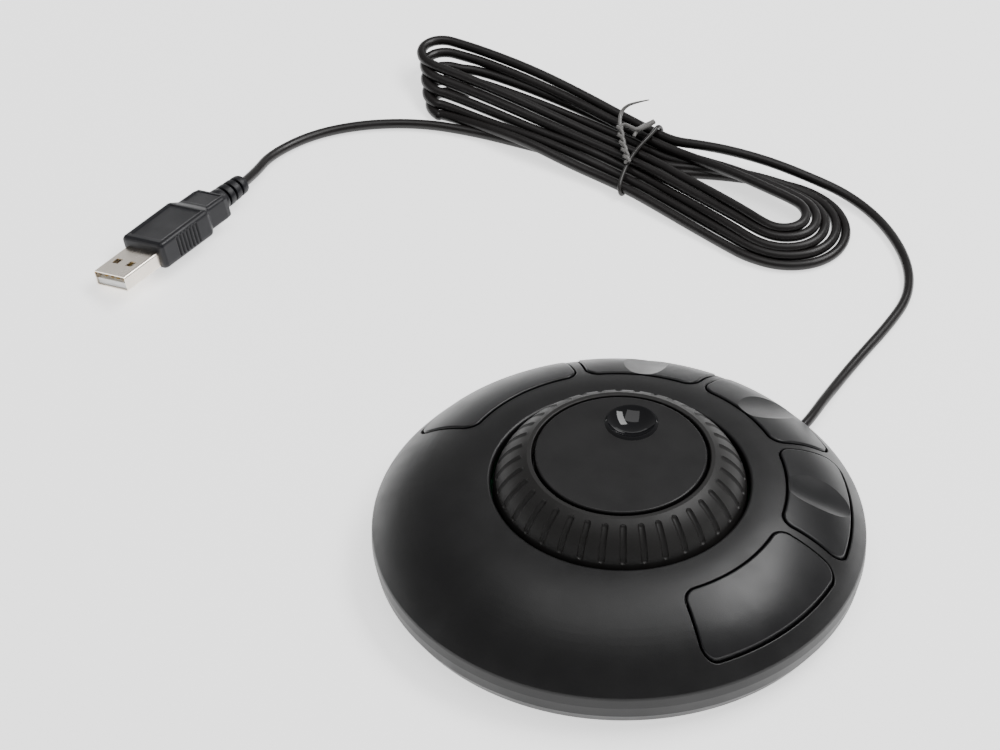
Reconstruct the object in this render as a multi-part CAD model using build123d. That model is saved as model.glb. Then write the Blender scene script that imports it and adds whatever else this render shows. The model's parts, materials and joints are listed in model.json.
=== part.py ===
from build123d import *

# Jog and shuttle controller: a saucer-shaped desktop case with a sprung outer ring, a free-turning
# inner dial, five buttons and a lead wound into a hank that ends in a USB type A plug.
# Millimetres. Origin at the centre of the footprint on the table, +Z up, +Y to the rear, where the
# lead leaves the case.

import math
import os

# ---------------------------------------------------------------- driving dimensions
CASE_R = 63.5                # widest radius of the case
CREASE_Z = 11.0              # height of the edge between rim band and dome
OPENING_R = 33.2             # hole in the dome for the ring
OPENING_Z = 27.3             # height of the dome at that hole, where it is level
WALL = 2.4                   # case wall
FOOT_STAND = 1.0             # the case stands this far above the table

RING_LIP_R = 22.75           # hole in the ring for the dial
RING_TOP_Z = 36.0
RING_SHOULDER_R = 24.0       # where the ring's flat top turns down
RING_ARC_R = 15.3            # section of the ring's outer face
RING_ARC_START = 25.0        # angles of that section from straight up
RING_ARC_END = 75.0
RING_SKIN = 2.0              # rubber on the ring
RING_SLOTS = 36
SLOT_PHASE = 7.7             # degrees from the right to the first slot
SLOT_R = 1.0                 # round section of a slot, its centre a little above the face
SLOT_LIFT = 0.42
SLOT_FIRST, SLOT_LAST = 33.5, 66.0   # its ends, as angles of the ring's section

DIAL_R = 21.95
DIAL_TOP_Z = 36.3
CUP_R = 6.85                 # finger cup in the dial
CUP_PROUD = 0.5              # its bevelled rim stands above the dial
CUP_PLACE_R = 12.3
CUP_ANGLE = 34.0             # degrees from the rear, anticlockwise from above
SHUTTLE_RANGE = 70.0         # degrees each way

BUTTON_ROW_TURN = -1.9       # middle of the row of keys, degrees anticlockwise from the rear
BUTTON_PLACES = (86.8, 40.8, 0.0, -40.8, -86.8)     # from the middle of the row
BUTTON_ANGLES = tuple(BUTTON_ROW_TURN + place for place in BUTTON_PLACES)
BUTTON_SPANS = (47.9, 38.5, 38.4, 38.5, 47.9)
BUTTON_SCOOPED = (False, True, True, True, False)
BUTTON_INNER_R = 42.3
BUTTON_OUTER_R = 59.6
BUTTON_CORNER = 3.9
BUTTON_GAP = 0.5
BUTTON_EDGE = 0.45           # rounding of the caps
WINDOW_EDGE = 0.3            # rounding of the cover round them
BUTTON_FLANGE = 0.45         # the retaining flange reaches this far under the cover
BUTTON_PROUD = 0.35          # the caps stand a little above the dome
BUTTON_TRAVEL = 0.7

CABLE_D = 2.8
CABLE_Z = CABLE_D / 2 + 0.05     # centre of the lead where it lies on the table
EXIT_Z = 4.85                    # centre of the lead in the case wall

# ---------------------------------------------------------------- derived sizes
RISE = OPENING_Z - CREASE_Z
RUN = CASE_R - OPENING_R
DOME_R = (RUN ** 2 + RISE ** 2) / (2 * RISE)     # section arc, level at the opening
DOME_CENTRE_Z = OPENING_Z - DOME_R

BAND_LOW_Z = 8.0             # the rim band is upright down to here, then leans in
BAND_LEAN = 0.7
TUCK_Z = 4.6                 # below here it tucks in to the foot of the rim
RIM_FOOT_R = CASE_R - 2.9
BASE_TOP_Z = 3.2
BASE_R = 58.5
BASE_SEAT_R = BASE_R + 0.3   # recess in the cover's foot for the base plate
BASE_SEAT_Z = 3.6
POST_OUTER_R = 3.0
PILOT_R = 1.25               # hole that a screw cuts its thread in
PCB_BOTTOM_Z = 6.5
PCB_TOP_Z = 8.1
PCB_R = 56.0
SWITCH_R = 52.0
SWITCH_HOUSING_Z = 11.5
PLUNGER_TOP_Z = 12.4
PLUNGER_R = 1.8
PLUNGER_DEPTH = 1.6          # how far a plunger reaches into its housing
POST_R = 37.5                # case screw bosses
POST_ANGLES = (45, 135, 225, 315)
SUPPORT_R = 28.0             # board supports on the base plate
SUPPORT_ANGLES = (20, 110, 200, 290)
LEG_PLACE_R = 12.0
LEG_ANGLES = (30, 150, 270)
FOOT_PLACE_R = 50.0
FOOT_ANGLES = (0, 90, 180, 270)
FOOT_R = 5.5
FOOT_RECESS = 0.6

HUB_R = 6.0
HUB_BORE_R = 4.0
HUB_TOP_Z = 27.4
PLATE_BOTTOM_Z = 14.0
PLATE_TOP_Z = 16.4
SHAFT_R = 2.5
RUNNING_FIT = 0.05           # radial clearance of turning parts
SEAT_GAP = 0.03              # clearance of parts pressed or bonded together

RING_ARC_CENTRE_R = RING_SHOULDER_R - RING_ARC_R * math.sin(math.radians(RING_ARC_START))
RING_ARC_CENTRE_Z = RING_TOP_Z - RING_ARC_R * math.cos(math.radians(RING_ARC_START))
RING_BOTTOM_Z = 22.6


# ---------------------------------------------------------------- helpers
def disc(radius, bottom, top):
    """Upright cylinder about the main axis."""
    return Pos(0, 0, (bottom + top) / 2) * Cylinder(radius, top - bottom)


def tube(outer, inner, bottom, top):
    """Upright hollow cylinder about the main axis."""
    return disc(outer, bottom, top) - disc(inner, bottom - 1, top + 1)


def polar(radius, angle):
    """Point at an angle anticlockwise from the rear."""
    turn = math.radians(angle)
    return (-radius * math.sin(turn), radius * math.cos(turn))


def around(shape, radius, angles):
    """Copies of an axial shape at a radius, at angles from the rear."""
    return [Pos(*polar(radius, angle), 0) * shape for angle in angles]


def block(x, y, z):
    """Box from three (low, high) pairs."""
    size = [high - low for low, high in (x, y, z)]
    middle = [(high + low) / 2 for low, high in (x, y, z)]
    return Pos(*middle) * Box(*size)


def turned(outline):
    """Solid of revolution about the main axis from a closed (radius, height) outline."""
    return revolve(Plane.XZ * outline, Axis.Z)


def polygon(*points):
    """Face with straight sides."""
    return make_face(Polyline(*points, close=True))


def ring_point(depth, angle):
    """(radius, height) on the ring's section arc, a depth below its face."""
    turn = math.radians(angle)
    reach = RING_ARC_R - depth
    return (RING_ARC_CENTRE_R + reach * math.sin(turn), RING_ARC_CENTRE_Z + reach * math.cos(turn))


def circle_edges(shape, radius, height):
    """Circular edges of a turned part at a radius and height."""
    rings = shape.edges().filter_by(GeomType.CIRCLE)
    return [e for e in rings if abs(e.radius - radius) < 0.01 and abs(e.center().Z - height) < 0.01]


def save(node, shape):
    """Write one node."""
    solids = shape if isinstance(shape, list) else [shape]
    parts = [solid for item in solids for solid in item.solids()]
    if len(parts) == 1:
        export_step(parts[0], f"parts/{node}.step")
    else:
        export_step(Compound(children=parts), f"parts/{node}.step")


# ---------------------------------------------------------------- dome and case
def dome_arc(depth, outer_r):
    """Section of the dome's face, a depth below it, from a radius in to the opening."""
    arc_r = DOME_R - depth
    turn = math.asin((outer_r - OPENING_R) / arc_r)

    def point(angle):
        return (OPENING_R + arc_r * math.sin(angle), DOME_CENTRE_Z + arc_r * math.cos(angle))

    return point(turn), point(turn / 2), point(0)


def dome_solid(raised):
    """Everything under the dome's face, raised or lowered by an amount."""
    low, middle, high = dome_arc(0, CASE_R)
    sides = Polyline(low, (CASE_R, -20), (0, -20), (0, OPENING_Z), high)
    return Pos(0, 0, raised) * turned(make_face(sides + ThreePointArc(low, middle, high)))


def dome_height(radius):
    """Height of the dome's face at a radius outside the opening."""
    return DOME_CENTRE_Z + math.sqrt(DOME_R ** 2 - (radius - OPENING_R) ** 2)


def sector(grow, span, bottom, top):
    """Upright prism of a button's outline, centred on the rear, grown outwards by an amount."""
    inner = BUTTON_INNER_R - grow
    outer = BUTTON_OUTER_R + grow
    half = math.radians(span / 2)
    extra_in = math.asin(grow / inner)
    extra_out = math.asin(grow / outer)
    inner_half = math.degrees(half + extra_in)
    outer_half = math.degrees(half + extra_out)
    left_in, right_in = polar(inner, inner_half), polar(inner, -inner_half)
    left_out, right_out = polar(outer, outer_half), polar(outer, -outer_half)
    outline = (
        ThreePointArc(left_in, (0, inner), right_in)
        + Line(right_in, right_out)
        + ThreePointArc(right_out, (0, outer), left_out)
        + Line(left_out, left_in)
    )
    face = make_face(outline)
    face = fillet(face.vertices(), max(BUTTON_CORNER + grow, 0.8))
    return Pos(0, 0, bottom) * extrude(face, top - bottom)


def top_cover():
    """Dome with its rim band, button windows, screw bosses and lead hole."""
    band_inner = CASE_R - WALL
    low_out, mid_out, high_out = dome_arc(0, CASE_R)
    low_in, mid_in, high_in = dome_arc(WALL, band_inner)
    outline = (
        Polyline(high_in, high_out)
        + ThreePointArc(high_out, mid_out, low_out)
        + Polyline(
            low_out, (CASE_R, BAND_LOW_Z), (CASE_R - BAND_LEAN, TUCK_Z), (RIM_FOOT_R, FOOT_STAND),
            (BASE_SEAT_R, FOOT_STAND), (BASE_SEAT_R, BASE_SEAT_Z), (band_inner, BASE_SEAT_Z + 1.6), low_in
        )
        + ThreePointArc(low_in, mid_in, high_in)
    )
    cover = Rot(0, 0, -90) * turned(make_face(outline))      # its seam at the front, clear of the windows
    cover = fillet(circle_edges(cover, CASE_R, CREASE_Z), 1.4)
    cover = fillet(circle_edges(cover, OPENING_R, OPENING_Z), 0.7)
    cover = fillet(circle_edges(cover, RIM_FOOT_R, FOOT_STAND), 0.6)

    for angle, span in zip(BUTTON_ANGLES, BUTTON_SPANS):
        cover -= Rot(0, 0, angle) * sector(0, span, BASE_TOP_Z, OPENING_Z + 5)
    cover = round_windows(cover)

    under_dome = dome_solid(-1.0)
    post = disc(POST_OUTER_R, BASE_TOP_Z, OPENING_Z) - disc(PILOT_R, BASE_TOP_Z - 1, 15)
    for boss in around(post, POST_R, POST_ANGLES):
        cover += boss & under_dome
    hole = Pos(0, CASE_R - 3, EXIT_Z) * Rot(90, 0, 0) * Cylinder(2.2, 16)
    pocket = Pos(0, 55.9, EXIT_Z) * Rot(90, 0, 0) * Cylinder(3.4, 10)
    return cover - hole - pocket


def round_windows(cover):
    """Softens the edges where the button windows cut the dome's face."""
    dome = max(cover.faces(), key=lambda face: face.area)
    edges = [edge for wire in dome.inner_wires() for edge in wire.edges()]
    print("window edges rounded:", len(edges))
    return fillet(edges, WINDOW_EDGE)


# ---------------------------------------------------------------- base, feet and screws
def base_plate():
    """Floor of the case with board supports, screw holes and foot recesses."""
    plate = disc(BASE_R, FOOT_STAND, BASE_TOP_Z)
    for support in around(disc(3.0, BASE_TOP_Z - 0.1, PCB_BOTTOM_Z), SUPPORT_R, SUPPORT_ANGLES):
        plate += support
    for pilot in around(disc(PILOT_R, 1.8, PCB_BOTTOM_Z + 1), SUPPORT_R, SUPPORT_ANGLES):
        plate -= pilot
    for recess in around(disc(FOOT_R + 0.1, 0, FOOT_STAND + FOOT_RECESS), FOOT_PLACE_R, FOOT_ANGLES):
        plate -= recess
    screw_hole = disc(1.6, 0, 10) + disc(2.9, 0, FOOT_STAND + 1.2)
    for hole in around(screw_hole, POST_R, POST_ANGLES) + around(screw_hole, LEG_PLACE_R, LEG_ANGLES):
        plate -= hole
    return plate


def foot():
    """Round rubber pad with a softened edge."""
    pad = disc(FOOT_R, 0, FOOT_STAND + FOOT_RECESS)
    return fillet(circle_edges(pad, FOOT_R, 0), 0.5)


def pan_screw(head_bottom, head_top, tip, head_r, shank_r):
    """Screw with its head at head_bottom to head_top and its shank on to tip."""
    head = disc(head_r, min(head_bottom, head_top), max(head_bottom, head_top))
    shank = disc(shank_r, min(head_top, tip), max(head_top, tip))
    cross = block((-1.6, 1.6), (-0.35, 0.35), (head_bottom - 0.6, head_bottom + 0.6))
    return head + shank - cross - Rot(0, 0, 90) * cross


# ---------------------------------------------------------------- circuit board
def main_pcb():
    """Round board with holes for the bosses, legs and board screws."""
    board = disc(PCB_R, PCB_BOTTOM_Z, PCB_TOP_Z)
    for hole in around(disc(3.6, 0, 20), POST_R, POST_ANGLES):
        board -= hole
    for hole in around(disc(3.3, 0, 20), LEG_PLACE_R, LEG_ANGLES):
        board -= hole
    for hole in around(disc(1.5, 0, 20), SUPPORT_R, SUPPORT_ANGLES):
        board -= hole
    return board


def switch_housing():
    """Square body of a push switch, bored for its plunger."""
    body = block((-3, 3), (-3, 3), (PCB_TOP_Z, SWITCH_HOUSING_Z))
    well_floor = SWITCH_HOUSING_Z - PLUNGER_DEPTH - BUTTON_TRAVEL - 0.3
    return body - disc(PLUNGER_R, well_floor, SWITCH_HOUSING_Z + 1)


def switch_plunger():
    """Round plunger that slides in the housing."""
    return disc(PLUNGER_R - RUNNING_FIT, SWITCH_HOUSING_Z - PLUNGER_DEPTH, PLUNGER_TOP_Z)


def controller_chip():
    """Flat square chip with a chamfered corner and legs along its sides."""
    body = block((-3.5, 3.5), (-3.5, 3.5), (PCB_TOP_Z + 0.15, PCB_TOP_Z + 1.5))
    for side in range(4):
        for step in range(8):
            place = -2.8 + 0.8 * step
            leg = block((place - 0.15, place + 0.15), (3.4, 4.4), (PCB_TOP_Z, PCB_TOP_Z + 0.5))
            body += Rot(0, 0, 90 * side) * leg
    return Pos(-24, 0, 0) * body


def crystal():
    """Oblong metal can."""
    can = block((-5, 5), (-2, 2), (PCB_TOP_Z, PCB_TOP_Z + 3.2))
    return Pos(-36, 0, 0) * Rot(0, 0, 90) * fillet(can.edges().filter_by(Axis.Z), 1.9)


# ---------------------------------------------------------------- buttons
def scoop_cutter():
    """Radial finger groove across a scooped button: a round bar laid on the dome."""
    middle = (BUTTON_INNER_R + BUTTON_OUTER_R) / 2 + 0.4
    slope = math.degrees(math.asin((middle - OPENING_R) / DOME_R))
    bar_r = 14.0
    depth = 1.35
    bar = Cylinder(bar_r, 60, rotation=(90, 0, 0))
    lifted = Pos(0, 0, bar_r - depth) * bar
    return Pos(0, middle, dome_height(middle) + BUTTON_PROUD) * Rot(-slope, 0, 0) * lifted


def button(span, scooped):
    """Hollow key cap with a retaining flange under the cover and a stem to its switch."""
    tall = (BASE_TOP_Z, OPENING_Z + 5)
    cap = dome_solid(BUTTON_PROUD) & sector(-BUTTON_GAP, span, *tall)
    cap = fillet(cap.faces().sort_by(Axis.Z)[-1].edges(), BUTTON_EDGE)
    if scooped:
        cap -= scoop_cutter()
    cap -= dome_solid(-5.2) & sector(3, span + 8, -20, OPENING_Z + 5)
    flange = (dome_solid(-3.9) & sector(BUTTON_FLANGE, span, *tall)) - dome_solid(-5.2)
    hollow = dome_solid(-3.6) & sector(-BUTTON_GAP - 1.6, span, *tall)
    stem = Pos(0, SWITCH_R, 0) * disc(2.2, PLUNGER_TOP_Z, OPENING_Z)
    return (cap + flange) - hollow + (stem & dome_solid(-2.9))


# ---------------------------------------------------------------- fixed hub
def mechanism_frame():
    """Legged plate with the hub tube and the stop post of the ring."""
    frame = disc(16.0, PLATE_BOTTOM_Z, PLATE_TOP_Z)
    for leg in around(disc(2.8, BASE_TOP_Z, PLATE_BOTTOM_Z + 0.1), LEG_PLACE_R, LEG_ANGLES):
        frame += leg
    frame += disc(HUB_R, PLATE_BOTTOM_Z, HUB_TOP_Z)
    frame += block((-1.4, 1.4), (-13.9, -12.3), (PLATE_TOP_Z - 0.1, 21.4))
    frame -= disc(HUB_BORE_R, 0, 40)
    frame -= tube(HUB_R + 1, HUB_R - 0.6, 26.1, 26.7)
    for pilot in around(disc(PILOT_R, 0, PLATE_BOTTOM_Z - 1), LEG_PLACE_R, LEG_ANGLES):
        frame -= pilot
    return frame


def flanged_bush(bottom, top, flange_bottom, flange_top):
    """Plain bearing for the dial's shaft."""
    bush = disc(HUB_BORE_R - SEAT_GAP, bottom, top) + disc(5.2, flange_bottom, flange_top)
    return bush - disc(SHAFT_R + RUNNING_FIT, 0, 50)


def retaining_clip(inner, outer, bottom, top):
    """Open spring clip."""
    return tube(outer, inner, bottom, top) - block((-1.2, 1.2), (0, outer + 1), (bottom - 1, top + 1))


def torsion_spring():
    """Centring spring round the hub, its two legs each side of the stop post."""
    coil_r = 10.3
    wire_r = 0.6
    pitch = 1.3
    leg_turn = 12.3          # degrees each side of the front where the legs leave the coil
    height = pitch * (3 - leg_turn / 180)
    low = PLATE_TOP_Z + wire_r + 0.15
    helix = Pos(0, 0, low) * Rot(0, 0, leg_turn - 90) * Helix(pitch, height, coil_r)
    profile = Plane(origin=helix @ 0, z_dir=helix % 0) * Circle(wire_r)
    spring = sweep(profile, path=helix, is_frenet=True)
    for end in (helix @ 0, helix @ 1):
        leg = rod((end.X, end.Y, end.Z), (end.X, -16.0, end.Z), wire_r)
        spring += leg + Pos(end.X, end.Y, end.Z) * Sphere(wire_r)
    return spring


def rod(start, end, radius):
    """Round bar between two points."""
    along = Vector(*end) - Vector(*start)
    middle = (Vector(*start) + Vector(*end)) / 2
    return Plane(origin=middle, z_dir=along) * Cylinder(radius, along.length)


# ---------------------------------------------------------------- shuttle ring
BEARING_R = 8.4              # bearing tube of the ring, round the hub
BEARING_LOW_Z = 16.9
BEARING_TOP_Z = 25.9
WEB_LOW_Z = 24.6
CARRIER_WALL = 1.8
LIP_LOW_Z = 31.4
STOP_PLACE_Y = (-13.9, -12.3)
STOP_LOW_Z = 17.2
SPRING_LUG_Y = (-16.2, -14.4)
STOP_MARGIN = 14.5           # degrees between the end of the ring's turn and the middle of a stop rib


def shuttle_carrier():
    """Turning cup that holds the rubber ring, with its bearing tube and stop ribs."""
    inner = RING_SKIN + SEAT_GAP
    deep = inner + CARRIER_WALL
    lip = RING_LIP_R + 0.02
    top_out = (RING_SHOULDER_R - 0.6, RING_TOP_Z - inner)
    low_out = ring_point(inner, RING_ARC_END - 5)
    low_in = ring_point(deep, RING_ARC_END - 5)
    outline = (
        Polyline((lip, RING_TOP_Z - inner), top_out)
        + ThreePointArc(top_out, ring_point(inner, 48), low_out)
        + Polyline(
            low_out, (low_out[0], RING_BOTTOM_Z), (low_in[0], RING_BOTTOM_Z), (BEARING_R, RING_BOTTOM_Z),
            (BEARING_R, BEARING_LOW_Z), (HUB_R + RUNNING_FIT, BEARING_LOW_Z),
            (HUB_R + RUNNING_FIT, BEARING_TOP_Z), (BEARING_R, BEARING_TOP_Z),
            (BEARING_R, WEB_LOW_Z), (low_in[0] - 0.6, WEB_LOW_Z), low_in
        )
        + ThreePointArc(low_in, ring_point(deep, 54), (lip, LIP_LOW_Z))
        + Polyline((lip, LIP_LOW_Z), (lip, RING_TOP_Z - inner))
    )
    carrier = turned(make_face(outline))
    stop_turn = SHUTTLE_RANGE + STOP_MARGIN
    rib = block((-1.5, 1.5), STOP_PLACE_Y, (STOP_LOW_Z, RING_BOTTOM_Z + 0.5))
    for turn in (-stop_turn, stop_turn):
        carrier += Rot(0, 0, turn) * rib
    lug = block((-1.2, 1.2), SPRING_LUG_Y, (STOP_LOW_Z, RING_BOTTOM_Z + 0.5))
    return carrier + lug


def slot_cutter():
    """Round bar bent along the ring's face, with balls at its ends, at the right of the ring."""
    bar = Rot(90, 0, 0) * Torus(RING_ARC_R + SLOT_LIFT, SLOT_R)
    wedge_points = [(0, 0)]
    for angle in (SLOT_FIRST, SLOT_LAST):
        turn = math.radians(angle)
        wedge_points.append((2 * RING_LIP_R * math.sin(turn), 2 * RING_LIP_R * math.cos(turn)))
    wedge = extrude(Plane.XZ * polygon(*wedge_points), 3 * SLOT_R, both=True)
    cutter = Pos(RING_ARC_CENTRE_R, 0, RING_ARC_CENTRE_Z) * (bar & wedge)
    for angle in (SLOT_FIRST, SLOT_LAST):
        radius, height = ring_point(-SLOT_LIFT, angle)
        cutter += Pos(radius, 0, height) * Sphere(SLOT_R)
    return cutter


def shuttle_grip():
    """Rubber ring with long round-ended grooves down its face."""
    low_out = ring_point(0, RING_ARC_END)
    low_in = ring_point(RING_SKIN, RING_ARC_END - 5)
    top_in = (RING_SHOULDER_R - 0.6, RING_TOP_Z - RING_SKIN)
    outline = (
        Polyline(
            (RING_LIP_R, RING_TOP_Z - RING_SKIN), (RING_LIP_R, RING_TOP_Z), (RING_SHOULDER_R, RING_TOP_Z)
        )
        + ThreePointArc((RING_SHOULDER_R, RING_TOP_Z), ring_point(0, 50), low_out)
        + Polyline(low_out, (low_out[0] + 0.25, RING_BOTTOM_Z), (low_in[0], RING_BOTTOM_Z), low_in)
        + ThreePointArc(low_in, ring_point(RING_SKIN, 48), top_in)
        + Polyline(top_in, (RING_LIP_R, RING_TOP_Z - RING_SKIN))
    )
    grip = turned(make_face(outline))
    grip = fillet(circle_edges(grip, RING_LIP_R, RING_TOP_Z), 0.35)
    slot = slot_cutter()
    cutters = [Rot(0, 0, SLOT_PHASE + 360 / RING_SLOTS * step) * slot for step in range(RING_SLOTS)]
    return grip - cutters


def shuttle_code_ring():
    """Slotted skirt that the position sensor reads."""
    ring = tube(18.9, 18.4, 11.5, RING_BOTTOM_Z)
    slot = block((-0.7, 0.7), (17, 20), (10, 17))
    cutters = [Rot(0, 0, 12 * step) * slot for step in range(30)]
    return ring - cutters


def shuttle_sensor():
    """Forked light gate that straddles the code ring."""
    body = block((-3, 3), (16.2, 21.1), (PCB_TOP_Z, 13.8))
    return body - block((-4, 4), (17.9, 19.4), (10.9, 15))


# ---------------------------------------------------------------- jog dial
DIAL_LOW_Z = 31.2
DIAL_ROOF_Z = 33.6           # underside of the dial's top wall
DIAL_EDGE = 0.45
BOSS_R = 5.0
BOSS_LOW_Z = 28.4
SEAT_R = 8.4                 # pad in which the finger cup sits
SEAT_LOW_Z = 31.6
SEAT_FLOOR_Z = 33.2
SHAFT_TOP_Z = 32.6
MAGNET_TOP_Z = 11.6
DISH_R = 9.0                 # ball that the finger cup's hollow is cut with
DISH_DEPTH = 2.35


def jog_dial():
    """Flat dial with a skirt, a shaft boss and a seat for the finger cup."""
    dial = disc(DIAL_R, DIAL_LOW_Z, DIAL_TOP_Z)
    dial = fillet(circle_edges(dial, DIAL_R, DIAL_TOP_Z), DIAL_EDGE)
    dial -= disc(DIAL_R - 1.85, DIAL_LOW_Z - 1, DIAL_ROOF_Z)
    dial += disc(BOSS_R, BOSS_LOW_Z, DIAL_ROOF_Z + 0.4)
    seat = Pos(*polar(CUP_PLACE_R, CUP_ANGLE), 0)
    dial += seat * disc(SEAT_R, SEAT_LOW_Z, DIAL_ROOF_Z + 0.4)
    dial -= seat * disc(CUP_R + SEAT_GAP, SEAT_FLOOR_Z, DIAL_TOP_Z + 4)
    return dial - disc(SHAFT_R + SEAT_GAP, BOSS_LOW_Z - 8, SHAFT_TOP_Z + 0.1)


def jog_finger_cup():
    """Polished dished insert with a small bevelled rim."""
    top = DIAL_TOP_Z + CUP_PROUD
    cup = disc(CUP_R, SEAT_FLOOR_Z + 0.05, top)
    cup = chamfer(circle_edges(cup, CUP_R, top), CUP_PROUD)
    cup -= Pos(0, 0, top + DISH_R - DISH_DEPTH) * Sphere(DISH_R)
    return Pos(*polar(CUP_PLACE_R, CUP_ANGLE), 0) * cup


def jog_shaft():
    """Steel shaft with a clip groove near its foot."""
    return disc(SHAFT_R, MAGNET_TOP_Z, SHAFT_TOP_Z) - tube(SHAFT_R + 1, 2.0, 12.45, 13.1)


# ---------------------------------------------------------------- lead, hank and plug
BOOT_START = 58.6            # distances behind the middle of the case
BOOT_END = 67.0
BOOT_LEAN = 8.0              # the sleeve outside the case leans this far to the left
LEAD_POINTS = (
    (0.0, CASE_R, EXIT_Z), (-0.55, 67.4, 4.8), (-2.1, 72.3, 4.5), (-5.0, 79.0, 3.5), (-8.6, 87.8, 1.9),
    (-12.4, 99.5, CABLE_Z), (-17.0, 117.0, CABLE_Z), (-21.6, 129.0, CABLE_Z), (-31.5, 138.8, CABLE_Z),
    (-47.0, 145.6, CABLE_Z), (-62.0, 146.6, 2.2), (-75.0, 142.0, 4.0),
)
TAIL_POINTS = (
    (-139.0, 95.0, 2.2), (-152.0, 89.6, CABLE_Z), (-165.0, 81.2, CABLE_Z), (-175.5, 69.0, CABLE_Z),
    (-182.0, 55.0, CABLE_Z), (-182.6, 40.0, CABLE_Z + 0.4), (-177.8, 30.4, 3.6), (-175.4, 23.8, 5.0),
)
HANK_CENTRE = (-109.5, 113.8)
HANK_ANGLE = 11.0
HANK_HEIGHT = 8.8
HANK_OUTLINE = (
    (-81, 1), (-78, 9), (-66, 13), (-36, 14), (-3, 13.2), (12, 15.5), (34, 21.5), (53, 19), (65, 8), (67, -5),
    (60, -15), (44, -18), (22, -15.5), (-3, -13.2), (-36, -15), (-64, -15), (-77, -8),
)
PLUG_HEADING = 8.0           # the plug's back points this far anticlockwise from the rear
PLUG_ROLL = 18.0             # it lies tilted, resting on one edge
SHELL_LENGTH = 13.6
SHELL_W, SHELL_H, SHELL_WALL = 12.0, 4.5, 0.32
MOULD_LENGTH, MOULD_W, MOULD_H = 21.0, 14.7, 7.1
NECK_LENGTH, NECK_W, NECK_H = 8.4, 10.6, 6.4
RELIEF_LENGTH = 11.0


def cord_tube(points, name):
    """Tube along straight runs joined by the largest tangent arcs, with its volume checked."""
    runs = [Vector(*b) - Vector(*a) for a, b in zip(points, points[1:])]
    radii = []
    for before, after in zip(runs, runs[1:]):
        half = math.radians(before.get_angle(after)) / 2
        radii.append(0.45 * min(before.length, after.length) / math.tan(half))
    path = FilletPolyline(*points, radius=radii)
    section = Plane(origin=path @ 0, z_dir=path % 0) * Circle(CABLE_D / 2)
    solid = sweep(section, path=path)
    expected = math.pi * (CABLE_D / 2) ** 2 * path.length
    print(f"{name}: length {path.length:.1f}, radii {[round(r, 1) for r in radii]},",
          f"volume over expected {solid.volume / expected:.4f}")
    return solid


def in_hank(s, t):
    """Table position from a place along and across the hank."""
    turn = math.radians(HANK_ANGLE)
    x = HANK_CENTRE[0] + s * math.cos(turn) - t * math.sin(turn)
    y = HANK_CENTRE[1] + s * math.sin(turn) + t * math.cos(turn)
    return (x, y)


def cable_hank():
    """Outer shape of the wound lead, pinched in where the tie goes round it."""
    face = polygon(*[in_hank(s, t) for s, t in HANK_OUTLINE])
    body = extrude(face, HANK_HEIGHT - 0.05)
    body = Pos(0, 0, 0.05) * body
    body = chamfer(body.faces().sort_by(Axis.Z)[-1].edges(), 1.8)
    waist_place = Pos(*HANK_CENTRE, 0) * Rot(0, 0, HANK_ANGLE)
    outside = block((-1.5, 1.5), (-20, 20), (-1, 12))
    inside = block((-3, 3), (-11.8, 11.8), (1.45, 8.2))
    return body - waist_place * (outside - inside)


def twist_tie():
    """Wire loop round the waist of the hank with its twisted ends on top."""
    wire_r = 0.6
    half_w, low, high = 12.6, 0.7, 8.95
    corners = [(0, -half_w, low), (0, half_w, low), (0, half_w, high), (0, -half_w, high)]
    bars = [rod(a, b, wire_r) for a, b in zip(corners, corners[1:] + corners[:1])]
    balls = [Pos(*corner) * Sphere(wire_r) for corner in corners]
    twist = rod((0, -4, high + 0.3), (3, 2.5, high + 1.9), 0.9)
    tail = rod((0, -4, high + 0.3), (-3, 1, high + 3.4), 0.45)
    tie = bars[0] + bars[1:] + balls + [twist, tail]
    return Pos(*HANK_CENTRE, 0) * Rot(0, 0, HANK_ANGLE) * tie


def plug_place():
    """Frame of the plug: +X out of its mouth, +Z up, origin at the end of its strain relief."""
    x, y, z = TAIL_POINTS[-1]
    return Pos(x, y, z) * Rot(0, 0, PLUG_HEADING - 90) * Rot(PLUG_ROLL, 0, 0)


def usb_strain_relief():
    """Tapered sleeve made of separate collars on a thin core."""
    core = Pos(RELIEF_LENGTH / 2, 0, 0) * Rot(0, 90, 0) * Cylinder(1.9, RELIEF_LENGTH)
    collars = []
    for step in range(4):
        outer = 2.5 + 0.25 * step
        start = 0.3 + step * 2.75
        collars.append(Pos(start + 1.0, 0, 0) * Rot(0, 90, 0) * Cylinder(outer, 2.0))
    return core + collars


def usb_overmould():
    """Moulded grip of the plug with a narrower neck behind it."""
    neck_mid = RELIEF_LENGTH + NECK_LENGTH / 2
    neck = Pos(neck_mid, 0, 0) * Box(NECK_LENGTH, NECK_W, NECK_H)
    neck = fillet(neck.edges().filter_by(Axis.X), 1.2)
    body_mid = RELIEF_LENGTH + NECK_LENGTH + MOULD_LENGTH / 2
    body = Pos(body_mid, 0, 0) * Box(MOULD_LENGTH, MOULD_W, MOULD_H)
    back = body.faces().sort_by(Axis.X)[0].edges().filter_by(Axis.Z)
    body = chamfer(back, 3.2, 2.0)
    body = fillet(body.edges().filter_by(Axis.X), 0.8)
    return body + neck


def usb_shell():
    """Sheet-metal shell of the plug with its four latch windows."""
    back = RELIEF_LENGTH + NECK_LENGTH + MOULD_LENGTH
    middle = Pos(back + SHELL_LENGTH / 2, 0, 0)
    outer = fillet(Box(SHELL_LENGTH, SHELL_W, SHELL_H).edges().filter_by(Axis.X), 0.6)
    hollow = Box(SHELL_LENGTH + 1, SHELL_W - 2 * SHELL_WALL, SHELL_H - 2 * SHELL_WALL)
    shell = outer - fillet(hollow.edges().filter_by(Axis.X), 0.3)
    for side in (-1, 1):
        shell -= Pos(0.6, side * 2.6, 0) * Box(2.3, 2.2, 10)
    return middle * shell


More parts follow.
